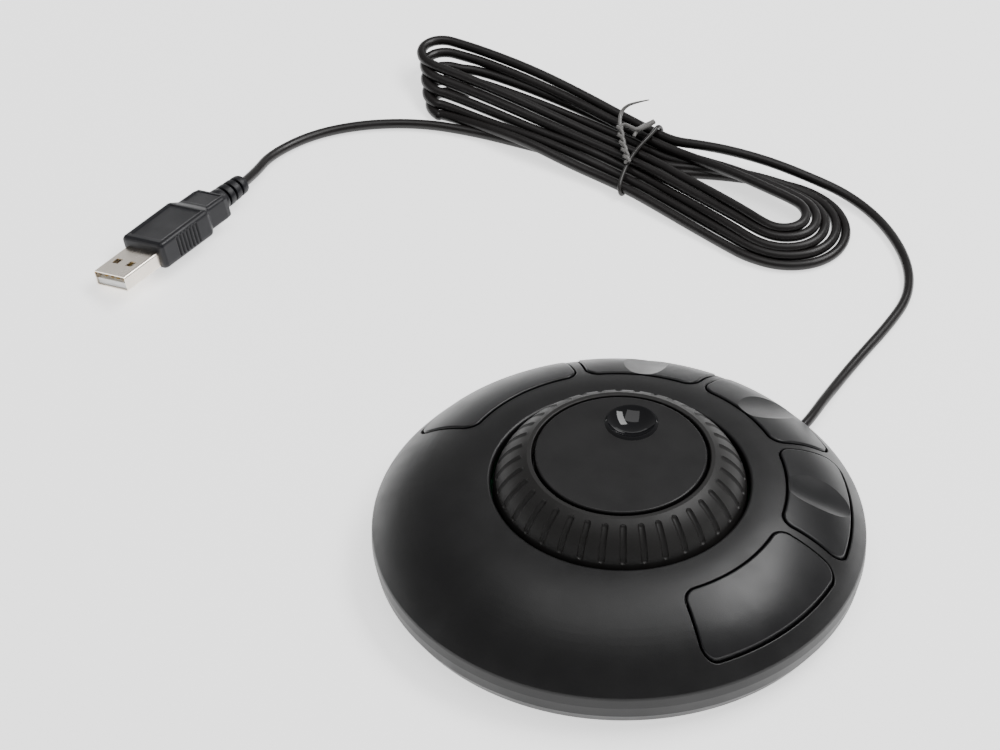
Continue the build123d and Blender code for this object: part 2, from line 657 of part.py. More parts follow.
def usb_tongue():
    """White insert that fills the lower half of the shell."""
    back = RELIEF_LENGTH + NECK_LENGTH + MOULD_LENGTH
    low = -SHELL_H / 2 + SHELL_WALL + SEAT_GAP
    half = SHELL_W / 2 - SHELL_WALL - SEAT_GAP
    tongue = block((back, back + SHELL_LENGTH - 0.5), (-half, half), (low, low + 1.85))
    plug_back = block((back, back + 3.0), (-half, half), (low, -low))
    return chamfer((tongue + plug_back).edges().filter_by(Axis.X), 0.25)


def usb_contacts():
    """Four gold strips on the tongue."""
    back = RELIEF_LENGTH + NECK_LENGTH + MOULD_LENGTH
    low = -SHELL_H / 2 + SHELL_WALL + SEAT_GAP + 1.85
    strips = []
    for place in (-3.5, -1.0, 1.0, 3.5):
        along = (back + 3.0, back + SHELL_LENGTH - 1.6)
        strips.append(block(along, (place - 0.5, place + 0.5), (low, low + 0.15)))
    return strips


def cable_boot():
    """Rubber grommet in the case wall with a short tapered sleeve that leans with the lead outside."""
    bore = CABLE_D / 2 + SEAT_GAP
    root = CASE_R + 0.8
    grommet = polygon(
        (bore, BOOT_START), (3.2, BOOT_START), (3.2, 60.4), (2.15, 60.8), (2.15, CASE_R), (2.9, CASE_R + 0.3),
        (2.75, root), (bore, root),
    )
    lean = math.radians(BOOT_LEAN)
    reach = BOOT_END - root
    root_plane = Plane(origin=(0, root, EXIT_Z), z_dir=(0, 1, 0))
    end_place = (-reach * math.sin(lean), root + reach * math.cos(lean), EXIT_Z)
    end_plane = Plane(origin=end_place, z_dir=(-math.sin(lean), math.cos(lean), 0))
    sleeve = loft([root_plane * Circle(2.5), end_plane * Circle(1.9)])
    sleeve -= loft([root_plane * Circle(bore), end_plane * Circle(bore)])
    return Pos(0, 0, EXIT_Z) * revolve(grommet, Axis.Y) + sleeve


def cable_entry():
    """Stretch of the lead inside the case, from its wall to where its cores fan out."""
    return rod((0, 45.0, EXIT_Z), LEAD_POINTS[0], CABLE_D / 2)


def inner_leads():
    """Four insulated cores from the lead's end to the board socket."""
    leads = []
    for step in range(4):
        spread = (step - 1.5) * 2.0
        gather = (step - 1.5) * 0.66
        leads.append(rod((spread, 39.6, EXIT_Z), (gather, 44.95, EXIT_Z), 0.32))
    return leads


def board_socket():
    """Small four-way socket under the board."""
    return block((-5, 5), (34.6, 39.5), (BASE_TOP_Z + 0.2, PCB_BOTTOM_Z))


# ---------------------------------------------------------------- build every node
SCREW_LOW_Z = FOOT_STAND + 1.15
CASE_SCREW_TOP_Z = 14.0
FRAME_SCREW_TOP_Z = 12.0
SCREW_HEAD_R = 2.7
SCREW_R = 1.2


def build():
    os.makedirs("parts", exist_ok=True)

    save("top_cover", top_cover())
    save("base_plate", base_plate())
    save("rubber_feet", around(foot(), FOOT_PLACE_R, FOOT_ANGLES))
    case_screw = pan_screw(1.2, SCREW_LOW_Z, CASE_SCREW_TOP_Z, SCREW_HEAD_R, SCREW_R)
    save("case_screws", around(case_screw, POST_R, POST_ANGLES))

    save("main_pcb", main_pcb())
    pcb_screw = pan_screw(PCB_TOP_Z + 1.4, PCB_TOP_Z + 0.02, 2.6, 2.3, 1.2)
    save("pcb_screws", around(pcb_screw, SUPPORT_R, SUPPORT_ANGLES))
    housing = Pos(0, SWITCH_R, 0) * switch_housing()
    save("switch_housings", [Rot(0, 0, angle) * housing for angle in BUTTON_ANGLES])
    save("controller_chip", controller_chip())
    save("crystal", crystal())
    save("board_socket", board_socket())
    save("inner_leads", inner_leads())

    keys = zip(BUTTON_ANGLES, BUTTON_SPANS, BUTTON_SCOOPED)
    for number, (angle, span, scooped) in enumerate(keys, start=1):
        save(f"button_{number}", Rot(0, 0, angle) * button(span, scooped))
        plunger = Pos(0, SWITCH_R, 0) * switch_plunger()
        save(f"switch_plunger_{number}", Rot(0, 0, angle) * plunger)

    save("mechanism_frame", mechanism_frame())
    frame_screw = pan_screw(1.2, SCREW_LOW_Z, FRAME_SCREW_TOP_Z, SCREW_HEAD_R, SCREW_R)
    save("frame_screws", around(frame_screw, LEG_PLACE_R, LEG_ANGLES))
    save("upper_bush", flanged_bush(22.4, HUB_TOP_Z, HUB_TOP_Z, HUB_TOP_Z + 0.6))
    save("lower_bush", flanged_bush(PLATE_BOTTOM_Z, 19.0, 13.3, PLATE_BOTTOM_Z))
    save("ring_thrust_washer", tube(9.2, HUB_R + RUNNING_FIT, PLATE_TOP_Z, 16.85))
    save("ring_retaining_clip", retaining_clip(HUB_R - 0.55, 8.0, 26.15, 26.65))
    save("shuttle_spring", torsion_spring())
    save("shuttle_sensor", shuttle_sensor())

    save("shuttle_carrier", shuttle_carrier())
    save("shuttle_grip", shuttle_grip())
    save("shuttle_code_ring", shuttle_code_ring())

    save("jog_dial", jog_dial())
    save("jog_finger_cup", jog_finger_cup())
    save("jog_shaft", jog_shaft())
    save("jog_magnet", disc(3.0, MAGNET_TOP_Z - 2, MAGNET_TOP_Z))
    save("jog_retaining_clip", retaining_clip(2.05, 4.2, 12.5, 13.05))
    save("jog_thrust_washer", tube(4.6, SHAFT_R + 0.1, 28.02, 28.38))
    save("jog_sensor", block((-2.5, 2.5), (-2, 2), (PCB_TOP_Z, 9.0)))

    save("cable_boot", cable_boot())
    save("cable_entry", cable_entry())
    save("cable_lead", cord_tube(LEAD_POINTS, "cable_lead"))
    save("cable_hank", cable_hank())
    save("cable_tail", cord_tube(TAIL_POINTS, "cable_tail"))
    save("twist_tie", twist_tie())
    place = plug_place()
    save("usb_strain_relief", place * usb_strain_relief())
    save("usb_overmould", place * usb_overmould())
    save("usb_shell", place * usb_shell())
    save("usb_tongue", place * usb_tongue())
    save("usb_contacts", [place * strip for strip in usb_contacts()])


build()
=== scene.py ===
import json
import math

import bpy
from mathutils import Matrix, Vector


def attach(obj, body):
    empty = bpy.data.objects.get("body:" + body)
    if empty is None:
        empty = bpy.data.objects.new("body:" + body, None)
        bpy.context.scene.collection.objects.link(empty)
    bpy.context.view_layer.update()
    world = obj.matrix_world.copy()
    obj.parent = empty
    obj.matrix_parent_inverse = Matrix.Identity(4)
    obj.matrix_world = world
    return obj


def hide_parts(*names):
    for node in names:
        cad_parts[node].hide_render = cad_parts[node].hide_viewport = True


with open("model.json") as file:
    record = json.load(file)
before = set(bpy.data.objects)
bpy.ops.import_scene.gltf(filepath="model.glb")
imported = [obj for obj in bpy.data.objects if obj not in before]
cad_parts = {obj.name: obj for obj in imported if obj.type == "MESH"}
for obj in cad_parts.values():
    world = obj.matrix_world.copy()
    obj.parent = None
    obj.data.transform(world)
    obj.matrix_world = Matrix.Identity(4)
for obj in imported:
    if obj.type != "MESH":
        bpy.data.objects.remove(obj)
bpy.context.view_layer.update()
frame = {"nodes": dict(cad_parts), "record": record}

MM = 0.001

# ---------------------------------------------------------------- camera
CAMERA_AZIMUTH = 47.0        # degrees: the camera stands in front and to the right
CAMERA_ELEVATION = 41.26
CAMERA_ROLL = 0.54
CAMERA_DISTANCE = 1.600      # metres from the point it looks at
CAMERA_TARGET = (-0.0732, 0.0260, 0.0)
CAMERA_LENS = 216.0          # mm
CAMERA_SENSOR = 36.0         # mm
CAMERA_SIGHT = 20.0          # metres that it sees

# ---------------------------------------------------------------- floor and light
SKY_STRENGTH = 0.30
FLOOR_SIZE = 6
FLOOR_GREY = 0.9
FLOOR_ROUGHNESS = 0.9
FLOOR_GLOW = 1.3             # the floor is kept pale by its own faint light, so the black object stays dark
LIGHT_TARGET = (-0.06, 0.03, 0.0)
LAMPS = (
    # name, place, width, height, watts
    ("key_softbox", (0.22, 0.80, 1.23), 1.2, 0.5, 19.0),
    ("overhead", (-0.1, 0.0, 1.9), 1.4, 1.4, 12.0),
    ("backdrop_glow", (-1.3, 1.3, 0.4), 1.8, 0.5, 1.5),
)

# ---------------------------------------------------------------- the lead's route, in metres
CABLE_D = 0.0028
TABLE_Z = 0.00145            # centre of the lead where it lies on the table
LEAD_ROUTE = (
    (0.0, 0.0635, 0.00485), (-0.00055, 0.0674, 0.0048), (-0.0021, 0.0723, 0.0045),
    (-0.005, 0.079, 0.0035), (-0.0086, 0.0878, 0.0019), (-0.0124, 0.0995, TABLE_Z),
    (-0.017, 0.117, TABLE_Z), (-0.0216, 0.129, TABLE_Z), (-0.0315, 0.1388, TABLE_Z),
    (-0.047, 0.1456, TABLE_Z), (-0.062, 0.1466, 0.0022), (-0.075, 0.142, 0.004),
)
TAIL_ROUTE = (
    (-0.139, 0.095, 0.0022), (-0.152, 0.0896, TABLE_Z), (-0.165, 0.0812, TABLE_Z),
    (-0.1755, 0.069, TABLE_Z), (-0.182, 0.055, TABLE_Z), (-0.1826, 0.04, 0.00185),
    (-0.1778, 0.0304, 0.0036), (-0.1754, 0.0238, 0.005),
)
HANK_CENTRE = (-0.1095, 0.1138)
HANK_ANGLE = 11.0            # degrees that the hank is turned from the X axis

# The hank, in millimetres along it (s, to the right) and across it (t, to the far side).
TURNS = 5
TABLE_LAYER = 1.45           # height of a strand that lies on the table
LOW_LAYER = 2.55             # height of the strands under the tie
TOP_LAYER = 4.7              # the same for those that lie on them
FAR_LANES = ((10.4, 4.9), (7.25, TOP_LAYER), (9.0, LOW_LAYER), (5.5, LOW_LAYER), (2.0, LOW_LAYER))
NEAR_LANES = (
    (0.25, TOP_LAYER), (-3.25, TOP_LAYER), (-5.0, LOW_LAYER), (-8.5, LOW_LAYER), (-12.0, LOW_LAYER),
)
LAST_LANE = (-1.5, LOW_LAYER)
TIE_REACH = 4.0              # the strands start to spread this far from the hank's middle
RIGHT_STATIONS = (4.0, 13.0, 24.0, 36.0)
RIGHT_SPREAD = 46.0
LEFT_STATIONS = (-4.0, -16.0, -30.0, -45.0, -60.0)
LEFT_SPREAD = 72.0
FAR_BULGE = 1.8
RISE_RATE = 1.3              # the strands reach a loop's height before they reach its side

# The loops at the hank's ends: the value for the first turn, and the step to each turn after it.
RIGHT_REACH = (52.3, 2.85)
RIGHT_NEAR = (-5.6, -2.35)
RIGHT_FAR = (7.6, 2.7)
RIGHT_HEIGHT = (6.65, -1.3)
RIGHT_WOBBLE_RATE = 2.3
LEFT_REACH = (-76.5, 2.75)
LEFT_NEAR = (-5.6, -2.7)
LEFT_FAR = (6.8, -2.7)
LEFT_HEIGHT = (8.0, -1.63)
LEFT_WOBBLE_RATE = 1.7
WOBBLE = 0.4
LOOP_DEPTH = 1.12            # length of a loop's round end, over half its width
LOOP_STEPS = 6

# Where the lead comes in and leaves, as points (s, t, height), and for some turns the (middle, height,
# reach) of the hump with which a strand crosses over others.
HANK_ENTRY = ((28.0, 19.0, 5.0), (17.0, 15.6, 5.7), (8.5, 12.4, 5.6), (3.0, 10.6, 5.0))
HANK_EXIT = ((-5.0, -2.6, 1.7), (-13.0, -5.6, TABLE_LAYER), (-22.0, -9.2, TABLE_LAYER))
NEAR_HUMPS = {2: (-16.0, 1.2, 18.0), 3: (-24.0, 1.6, 22.0), 4: (-35.0, 2.7, 27.0)}
FAR_HUMPS = {3: (26.0, 1.0, 20.0)}

TIE_WIRE = 0.00056           # half the thickness of the tie's coated wire
TIE_TWISTS = 2.5
TWIST_STEPS = 40
TWIST_SIDE = 0.38            # mm from the middle of the twisted pair to each wire, sideways
TWIST_UP = 0.55              # the same, up and down
TWIST_THICKNESS = 0.95       # of the twisted wires, over the band's
TIE_END = (-11.2, 3.8, 7.9)  # where the twist ends, in the hank's millimetres

# ---------------------------------------------------------------- the plug, in mm from its lead end
PLUG_START = TAIL_ROUTE[-1]  # this one in metres, in the frame
PLUG_HEADING = 8.0           # degrees to the right of the front, which is -Y
PLUG_ROLL = 18.0             # degrees about its length
RELIEF_LENGTH = 11.0
NECK_LENGTH = 8.4
MOULD_LENGTH = 21.0
MOULD_RISE = 0.9             # the moulding's middle stands this far above the shell's
MOULD_ROWS = 294
BODY_START = 19.5
GRIP_GROOVES = 7
FIRST_GROOVE = 26.3
GROOVE_PITCH = 1.3
GROOVE_HALF_WIDTH = 0.46
GROOVE_HALF_HEIGHT = 3.1
GROOVE_DEPTH = 0.5
GROOVE_FADE = 0.4            # length over which a groove runs out at its ends
SIDE_FACING = 0.8            # how far sideways a surface faces, from 0 to 1, to have grooves
BODY_PANEL = (22.0, 38.0, 5.9)   # start, end and half width
BODY_PANEL_DEPTH = 0.32
NECK_PANEL = (12.4, 18.2, 4.4)
NECK_PANEL_DEPTH = 0.22
PANEL_EDGE = 0.28            # width of the slope round a panel
PANEL_FACING = 0.95          # how far up or down a surface faces, from 0 to 1, to have a panel
RELIEF_FLATNESS = 1.08       # width of the strain relief over its height
RELIEF_RISE = 0.2            # the sleeve's middle stands this far above the lead's
RELIEF_SIDES = 72


# ---------------------------------------------------------------- materials
STYLES = {
    # colour, roughness, metallic, grain in mm, grain depth in mm, colour variation, roughness variation
    "case_plastic": ((0.0070, 0.0068, 0.0072), 0.39, 0.0, 0.26, 0.016, 0.10, 0.05),
    "base_plastic": ((0.0050, 0.0050, 0.0052), 0.60, 0.0, 0.30, 0.014, 0.12, 0.05),
    "key_plastic": ((0.0075, 0.0074, 0.0082), 0.35, 0.0, 0.26, 0.014, 0.10, 0.04),
    "grip_rubber": ((0.0085, 0.0078, 0.0074), 0.48, 0.0, 0.16, 0.008, 0.16, 0.06),
    "dial_plastic": ((0.0070, 0.0066, 0.0070), 0.40, 0.0, 0.26, 0.015, 0.12, 0.04),
    "cup_gloss": ((0.006, 0.006, 0.007), 0.045, 0.0, 1.50, 0.001, 0.05, 0.02),
    "feet_rubber": ((0.030, 0.030, 0.030), 0.75, 0.0, 0.30, 0.020, 0.20, 0.08),
    "screw_steel": ((0.45, 0.45, 0.46), 0.35, 1.0, 0.20, 0.004, 0.10, 0.10),
    "board_green": ((0.02, 0.16, 0.07), 0.40, 0.0, 0.60, 0.010, 0.25, 0.10),
    "chip_black": ((0.02, 0.02, 0.02), 0.55, 0.0, 0.12, 0.010, 0.15, 0.06),
    "can_metal": ((0.60, 0.60, 0.60), 0.30, 1.0, 0.20, 0.003, 0.08, 0.08),
    "socket_white": ((0.80, 0.78, 0.72), 0.45, 0.0, 0.30, 0.006, 0.05, 0.05),
    "core_insulation": ((0.50, 0.05, 0.05), 0.40, 0.0, 0.30, 0.006, 0.12, 0.06),
    "frame_plastic": ((0.10, 0.10, 0.10), 0.50, 0.0, 0.30, 0.008, 0.10, 0.06),
    "bush_brass": ((0.70, 0.50, 0.20), 0.32, 1.0, 0.15, 0.004, 0.10, 0.08),
    "washer_nylon": ((0.85, 0.85, 0.80), 0.48, 0.0, 0.25, 0.006, 0.05, 0.05),
    "shaft_steel": ((0.55, 0.55, 0.56), 0.25, 1.0, 0.12, 0.002, 0.06, 0.06),
    "magnet_dark": ((0.12, 0.12, 0.12), 0.60, 0.6, 0.15, 0.012, 0.25, 0.08),
    "cable_jacket": ((0.0080, 0.0066, 0.0066), 0.36, 0.0, 0.40, 0.010, 0.18, 0.08),
    "tie_wire": ((0.030, 0.028, 0.027), 0.30, 0.0, 0.50, 0.015, 0.25, 0.10),
    "tie_clear": ((0.17, 0.165, 0.16), 0.22, 0.0, 0.40, 0.010, 0.30, 0.08),
    "plug_plastic": ((0.0066, 0.0066, 0.0092), 0.44, 0.0, 0.18, 0.012, 0.12, 0.06),
    "shell_metal": ((0.88, 0.81, 0.72), 0.27, 1.0, 0.40, 0.002, 0.05, 0.08),
    "tongue_white": ((0.82, 0.82, 0.80), 0.40, 0.0, 0.25, 0.004, 0.04, 0.05),
    "contact_gold": ((0.83, 0.62, 0.25), 0.28, 1.0, 0.20, 0.002, 0.06, 0.06),
}
BLOTCH_SIZE = 9.0            # mm, of the slow variation in shine
SPECKLE_RATIO = 2.5          # size of the variation in colour, over the grain's
NOISE_RANGE = (0.3, 0.7)     # values of the noise between which the roughness changes
LEAST_ROUGHNESS = 0.02
SHEEN = 0.38                 # strength of the mirror-like part of the shine
DULL_SHEEN = 0.12            # the same for the base, which faces the bright floor


def noise(tree, size, detail):
    """Noise texture with features of a size in millimetres, in the object's own coordinates."""
    coordinates = tree.nodes.new("ShaderNodeTexCoord")
    texture = tree.nodes.new("ShaderNodeTexNoise")
    texture.inputs["Scale"].default_value = 1.0 / (size * MM)
    texture.inputs["Detail"].default_value = detail
    tree.links.new(coordinates.outputs["Object"], texture.inputs["Vector"])
    return texture.outputs["Fac"]


def moulded(name, color, roughness, metallic, grain, depth, color_change, roughness_change):
    """Material with a fine surface grain, speckled colour and slow changes in shine."""
    material = bpy.data.materials.new(name)
    material.use_nodes = True
    tree = material.node_tree
    shader = tree.nodes["Principled BSDF"]
    shader.inputs["Metallic"].default_value = metallic
    shader.inputs["Specular IOR Level"].default_value = DULL_SHEEN if name == "base_plastic" else SHEEN
    blotches = noise(tree, BLOTCH_SIZE, 3.0)
    speckle = noise(tree, grain * SPECKLE_RATIO, 2.0)

    mix = tree.nodes.new("ShaderNodeMix")
    mix.data_type = "RGBA"
    mix.inputs["A"].default_value = (*[c * (1 - color_change) for c in color], 1)
    mix.inputs["B"].default_value = (*[min(c * (1 + color_change), 1) for c in color], 1)
    tree.links.new(speckle, mix.inputs["Factor"])
    tree.links.new(mix.outputs["Result"], shader.inputs["Base Color"])

    shine = tree.nodes.new("ShaderNodeMapRange")
    shine.inputs["From Min"].default_value = NOISE_RANGE[0]
    shine.inputs["From Max"].default_value = NOISE_RANGE[1]
    shine.inputs["To Min"].default_value = max(roughness - roughness_change, LEAST_ROUGHNESS)
    shine.inputs["To Max"].default_value = roughness + roughness_change
    tree.links.new(blotches, shine.inputs["Value"])
    tree.links.new(shine.outputs["Result"], shader.inputs["Roughness"])

    bump = tree.nodes.new("ShaderNodeBump")
    bump.inputs["Distance"].default_value = depth * MM
    tree.links.new(noise(tree, grain, 2.0), bump.inputs["Height"])
    tree.links.new(bump.outputs["Normal"], shader.inputs["Normal"])
    return material


MATERIALS = {slot: moulded(slot, *style) for slot, style in STYLES.items()}


def paint(obj, slot):
    """Gives an object its one material."""
    obj.data.materials.clear()
    obj.data.materials.append(MATERIALS[slot])


# ---------------------------------------------------------------- small builders
def curve_piece(name, routes, radius):
    """Round-section curve of smooth open splines, with a thickness for each control point."""
    data = bpy.data.curves.new(name, "CURVE")
    data.dimensions = "3D"
    data.bevel_depth = radius
    data.bevel_resolution = 5
    data.resolution_u = 8
    data.use_fill_caps = True
    for points, scales in routes:
        spline = data.splines.new("NURBS")
        spline.points.add(len(points) - 1)
        for point, place, scale in zip(spline.points, points, scales):
            point.co = (*place, 1.0)
            point.radius = scale
        spline.order_u = 3
        spline.use_endpoint_u = True
    piece = bpy.data.objects.new(name, data)
    bpy.context.scene.collection.objects.link(piece)
    return piece


def mesh_piece(name, rings, place, sharp=40.0):
    """Closed skin over a row of rings of points, capped at both ends, put in place by a matrix."""
    count = len(rings[0])
    points = [place @ Vector(point) for ring in rings for point in ring]
    faces = []
    for row in range(len(rings) - 1):
        for column in range(count):
            after = (column + 1) % count
            faces.append((row * count + column, row * count + after,
                          (row + 1) * count + after, (row + 1) * count + column))
    faces.append(tuple(reversed(range(count))))
    faces.append(tuple((len(rings) - 1) * count + column for column in range(count)))
    mesh = bpy.data.meshes.new(name)
    mesh.from_pydata(points, [], faces)
    mesh.validate()
    mesh.shade_smooth()
    mesh.set_sharp_from_angle(angle=math.radians(sharp))
    piece = bpy.data.objects.new(name, mesh)
    bpy.context.scene.collection.objects.link(piece)
    return piece


def smooth(x):
    """Eases from 0 to 1."""
    x = min(max(x, 0.0), 1.0)
    return x * x * (3 - 2 * x)


def at_stations(stations, x):
    """Values at x between (x, value, value...) stations, on straight lines."""
    for low, high in zip(stations, stations[1:]):
        if x <= high[0]:
            share = (x - low[0]) / (high[0] - low[0])
            return [a + (b - a) * share for a, b in zip(low[1:], high[1:])]
    return list(stations[-1][1:])


# ---------------------------------------------------------------- the lead
def hank_point(s, t, z):
    """Place in the frame of a point of the hank given in millimetres."""
    turn = math.radians(HANK_ANGLE)
    x = HANK_CENTRE[0] + (s * math.cos(turn) - t * math.sin(turn)) * MM
    y = HANK_CENTRE[1] + (s * math.sin(turn) + t * math.cos(turn)) * MM
    return (x, y, z * MM)


def at_turn(start_and_step, turn):
    """Value for a turn, from that of the first turn and the step to each turn after it."""
    start, step = start_and_step
    return start + step * turn


def right_loop(turn):
    """Reach, near side, far side and height of a turn's right end: the first is the innermost, on top."""
    wobble = WOBBLE * math.sin(RIGHT_WOBBLE_RATE * turn)
    near, far = at_turn(RIGHT_NEAR, turn) + wobble, at_turn(RIGHT_FAR, turn) + wobble
    return at_turn(RIGHT_REACH, turn), near, far, at_turn(RIGHT_HEIGHT, turn)


def left_loop(turn):
    """The same for its left end: the first is the outermost, on top and on the far side."""
    wobble = WOBBLE * math.sin(LEFT_WOBBLE_RATE * turn)
    near, far = at_turn(LEFT_NEAR, turn) + wobble, at_turn(LEFT_FAR, turn) + wobble
    return at_turn(LEFT_REACH, turn), near, far, at_turn(LEFT_HEIGHT, turn)


def strand(lane, side, height, stations, spread, bulge=0.0, early=False):
    """Points from a lane under the tie out to the side and height of a loop."""
    points = []
    for s in stations:
        share = min((abs(s) - TIE_REACH) / (spread - TIE_REACH), 1.0)
        if early:
            share = math.sin(share * math.pi / 2)
        t = lane[0] + (side - lane[0]) * share + bulge * math.sin(math.pi * share)
        points.append((s, t, lane[1] + (height - lane[1]) * smooth(share * RISE_RATE)))
    return points


def lifted(points, middle, height, reach):
    """The same points with a long low hump, where they cross over another strand."""
    return [(s, t, z + height * smooth(1 - abs(s - middle) / reach)) for s, t, z in points]


def loop_end(reach, near, far, height, way):
    """Points round an end of the hank from its near side to its far side; way is 1 right, -1 left."""
    middle, half = (near + far) / 2, (far - near) / 2
    depth = LOOP_DEPTH * half
    points = []
    for step in range(LOOP_STEPS + 1):
        angle = math.radians(-90 + 180 / LOOP_STEPS * step)
        s = reach - way * depth + way * depth * math.cos(angle)
        points.append((s, middle + half * math.sin(angle), height))
    return points


def hank_turns():
    """The wound part of the lead, from where it joins the hank to where it leaves it."""
    points = [*HANK_ENTRY]
    for turn in range(TURNS):
        left = left_loop(turn)
        right = right_loop(turn)
        points += strand(FAR_LANES[turn], left[2], left[3], LEFT_STATIONS, LEFT_SPREAD, FAR_BULGE)
        points += loop_end(*left, -1)[::-1]
        near_arm = strand(NEAR_LANES[turn], left[1], left[3], LEFT_STATIONS, LEFT_SPREAD)[::-1]
        if turn in NEAR_HUMPS:
            near_arm = lifted(near_arm, *NEAR_HUMPS[turn])
        points += near_arm
        points += strand(NEAR_LANES[turn], right[1], right[3], RIGHT_STATIONS, RIGHT_SPREAD)
        points += loop_end(*right, 1)
        after = FAR_LANES[turn + 1] if turn + 1 < TURNS else LAST_LANE
        far_arm = strand(after, right[2], right[3], RIGHT_STATIONS, RIGHT_SPREAD, early=True)[::-1]
        if turn in FAR_HUMPS:
            far_arm = lifted(far_arm, *FAR_HUMPS[turn])
        points += far_arm
    points += HANK_EXIT
    return [hank_point(*point) for point in points]


def add_lead():
    """The whole lead as one round cord."""
    points = [*LEAD_ROUTE, *hank_turns(), *TAIL_ROUTE]
    return curve_piece("usb_lead", [(points, [1.0] * len(points))], CABLE_D / 2)


# ---------------------------------------------------------------- the twist tie
def add_tie_band():
    """Coated wire round the strands."""
    path = [(-3.0, 12.7, 3.0), (-3.0, 12.6, 5.6), (-3.3, 11.0, 7.4), (-3.0, 8.6, 7.0), (-2.8, 3.0, 6.65),
            (-2.2, -2.0, 6.65), (-1.2, -6.6, 6.2), (-0.2, -10.4, 5.0), (0.9, -13.3, 4.0), (1.6, -14.0, 2.4),
            (1.7, -13.2, 0.9), (1.4, -11.0, 0.6), (0.0, 0.0, 0.58), (-2.4, 10.0, 0.6), (-2.9, 12.0, 1.2),
            (-3.0, 12.7, 3.0)]
    return curve_piece("cable_tie", [([hank_point(*p) for p in path], [1.0] * len(path))], TIE_WIRE)


def twisted_wire(middle, phase):
    """One wire of a twisted pair that runs along the points of its middle."""
    points = []
    for step in range(TWIST_STEPS + 1):
        place = step / TWIST_STEPS * (len(middle) - 1)
        index = min(int(place), len(middle) - 2)
        share = place - index
        s, t, z = [a + (b - a) * share for a, b in zip(middle[index], middle[index + 1])]
        turn = phase + step / TWIST_STEPS * TIE_TWISTS * 2 * math.pi
        aside = TWIST_SIDE * math.cos(turn)
        points.append((s + aside, t + aside, z + TWIST_UP * math.sin(turn)))
    return points


def add_tie_ends():
    """Twisted ends of the tie on top of the strands: a short blunt one and a thin one that curls up."""
    middle = [(-0.9, -6.9, 7.3), (-3.0, -4.8, 7.6), (-5.8, -2.2, 7.5), (-8.6, 0.8, 7.5), TIE_END]
    blunt = [TIE_END, (-10.8, 5.2, 8.2), (-8.6, 5.0, 8.3),
             (-6.2, 4.6, 8.5), (-4.6, 7.0, 9.0), (-3.8, 9.8, 9.5)]
    fold = [(-3.9, 9.7, 9.4), (-5.4, 8.6, 8.4), (-6.8, 5.6, 7.9), (-5.6, 2.6, 7.7)]
    curl = [TIE_END, (-12.6, 5.6, 8.4), (-13.6, 7.6, 9.2), (-13.2, 9.2, 10.6),
            (-11.0, 10.2, 12.4), (-7.2, 12.0, 14.1)]
    routes = []
    for phase in (0.0, math.pi):
        wire = twisted_wire(middle, phase)
        routes.append((wire, [TWIST_THICKNESS] * len(wire)))
    routes.append((blunt, [0.95, 1.0, 1.1, 1.2, 1.3, 1.3]))
    routes.append((fold, [1.2, 1.1, 1.0, 0.9]))
    routes.append((curl, [0.95, 1.0, 1.0, 0.85, 0.6, 0.3]))
    placed = [([hank_point(*p) for p in points], scales) for points, scales in routes]
    return curve_piece("cable_tie_ends", placed, TIE_WIRE)


# ---------------------------------------------------------------- the plug
def plug_place():
    """Frame of the plug: +X out of its mouth, origin at the lead end of its strain relief."""
    heading = Matrix.Rotation(math.radians(PLUG_HEADING - 90), 4, "Z")
    roll = Matrix.Rotation(math.radians(PLUG_ROLL), 4, "X")
    return Matrix.Translation(PLUG_START) @ (heading @ roll) @ Matrix.Scale(MM, 4)


def rounded_ring(x, half_w, half_h, corner, rise_z, count=144):
    """Places round a rounded rectangle across the plug, rise_z above its middle, and which way is out."""
    straight_w, straight_h = half_w - corner, half_h - corner
    quarter = math.pi / 2 * corner
    around = 4 * (straight_w + straight_h + quarter)
    ring = []
    for step in range(count):
        along = around * step / count
        for side in range(4):
            flat = 2 * (straight_h if side % 2 == 0 else straight_w)
            if along <= flat + quarter:
                break
            along -= flat + quarter
        run, rise = (straight_w, straight_h) if side % 2 == 0 else (straight_h, straight_w)
        if along <= flat:
            u, v, angle = run + corner, -rise + along, 0.0
        else:
            angle = (along - flat) / corner
            u, v = run + corner * math.cos(angle), rise + corner * math.sin(angle)
        turn = side * math.pi / 2
        y, z = u * math.cos(turn) - v * math.sin(turn), u * math.sin(turn) + v * math.cos(turn)
        ring.append(((x, y, z + rise_z), (math.cos(angle + turn), math.sin(angle + turn))))
    return ring


def panel_dent(x, y, panel, depth):
    """How far a panel of (start, end, half width) is sunk at a place."""
    start, end, half_width = panel
    inside = min(x - start, end - x, half_width - abs(y))
    return depth * smooth(inside / PANEL_EDGE + 0.5)


def mould_dent(x, y, z, out_y, out_z):
    """How far the moulding is sunk: grip grooves in its sides and a shallow panel on its top and bottom."""
    dent = 0.0
    if abs(out_y) > SIDE_FACING:
        ends = smooth((GROOVE_HALF_HEIGHT - abs(z - MOULD_RISE)) / GROOVE_FADE)
        for groove in range(GRIP_GROOVES):
            centre = FIRST_GROOVE + GROOVE_PITCH * groove
            dent = max(dent, GROOVE_DEPTH * smooth(1 - abs(x - centre) / GROOVE_HALF_WIDTH) * ends)
    if abs(out_z) > PANEL_FACING and x > BODY_START:
        dent = max(dent, panel_dent(x, y, BODY_PANEL, BODY_PANEL_DEPTH))
    if out_z > PANEL_FACING and x < BODY_START:
        dent = max(dent, panel_dent(x, y, NECK_PANEL, NECK_PANEL_DEPTH))
    return dent


